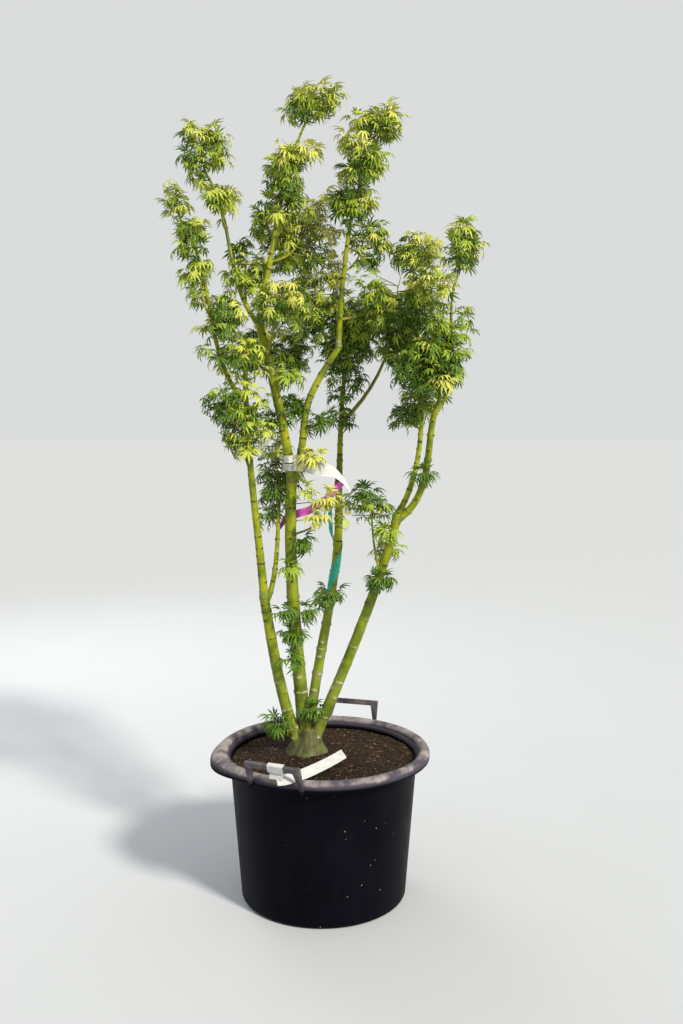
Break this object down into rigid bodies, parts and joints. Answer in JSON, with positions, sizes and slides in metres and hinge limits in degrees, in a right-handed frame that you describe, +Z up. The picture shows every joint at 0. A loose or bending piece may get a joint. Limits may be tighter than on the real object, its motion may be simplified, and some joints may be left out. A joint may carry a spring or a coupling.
{
  "type": "potted japanese maple",
  "caption": "Young japanese maple with several upright stems and tufted foliage, growing in a round plastic nursery pot with bracket handles.",
  "frame": {"origin": "middle of the pot's flat underside, on the ground", "axes": "+Z up along the plant's height, front towards -Y, the plant's right-hand side in a front view towards +X"},
  "size_m": [0.7743, 0.6187, 2.0693],
  "materials": {
    "pot_plastic": "moulded black plastic with a purple cast, dusty and scuffed",
    "soil": "dark fibrous potting compost",
    "grey_bark": "old grey-brown bark of the root crown",
    "bark": "smooth yellow-green bark with grey rings and patches",
    "foliage": "thin matt leaves, yellow-green where lit",
    "white_label": "plain white label film, unprinted",
    "magenta_ribbon": "thin magenta marking ribbon",
    "green_tape": "thin green marking tape"
  },
  "bodies": {
    "root": {"pot": "pot_plastic", "pot_handle_front": "pot_plastic", "pot_handle_back": "pot_plastic", "soil": "soil", "root_crown": "grey_bark", "label_strap": "white_label", "handle_tag": "white_label", "ribbon": "magenta_ribbon", "green_tape": "green_tape", "stem_main": "bark", "stem_left": "bark", "stem_right": "bark", "stem_middle": "bark", "bough_left_outer": "bark", "bough_left_inner": "bark", "bough_left_tower": "bark", "bough_main_left": "bark", "leader": "bark", "bough_top_left": "bark", "bough_main_right": "bark", "bough_right_tower": "bark", "bough_middle_top": "bark", "bough_right_inner": "bark", "bough_right_outer": "bark", "bough_right_crown": "bark", "bough_right_side": "bark", "left_tower_outer": "foliage", "left_tower_inner": "foliage", "left_tower_middle": "foliage", "left_tower_low": "foliage", "left_shoulder": "foliage", "top_left_crest": "foliage", "top_left_fan": "foliage", "top_left_base": "foliage", "leader_crest": "foliage", "leader_upper": "foliage", "leader_low": "foliage", "centre_upper": "foliage", "centre_middle": "foliage", "centre_front": "foliage", "right_tower_crest": "foliage", "right_tower_upper": "foliage", "right_tower_neck": "foliage", "right_tower_side": "foliage", "right_tower_low": "foliage", "right_fan_upper": "foliage", "right_fan_outer": "foliage", "right_fan_middle": "foliage", "right_fan_inner": "foliage", "right_dark_crown": "foliage", "right_low": "foliage", "middle_crown": "foliage", "middle_tuft": "foliage", "centre_low_spray": "foliage", "left_mid_outer": "foliage", "left_mid_inner": "foliage", "left_shaded": "foliage", "right_stem_tuft": "foliage", "back_left": "foliage", "back_right": "foliage"}
  },
  "joints": []
}
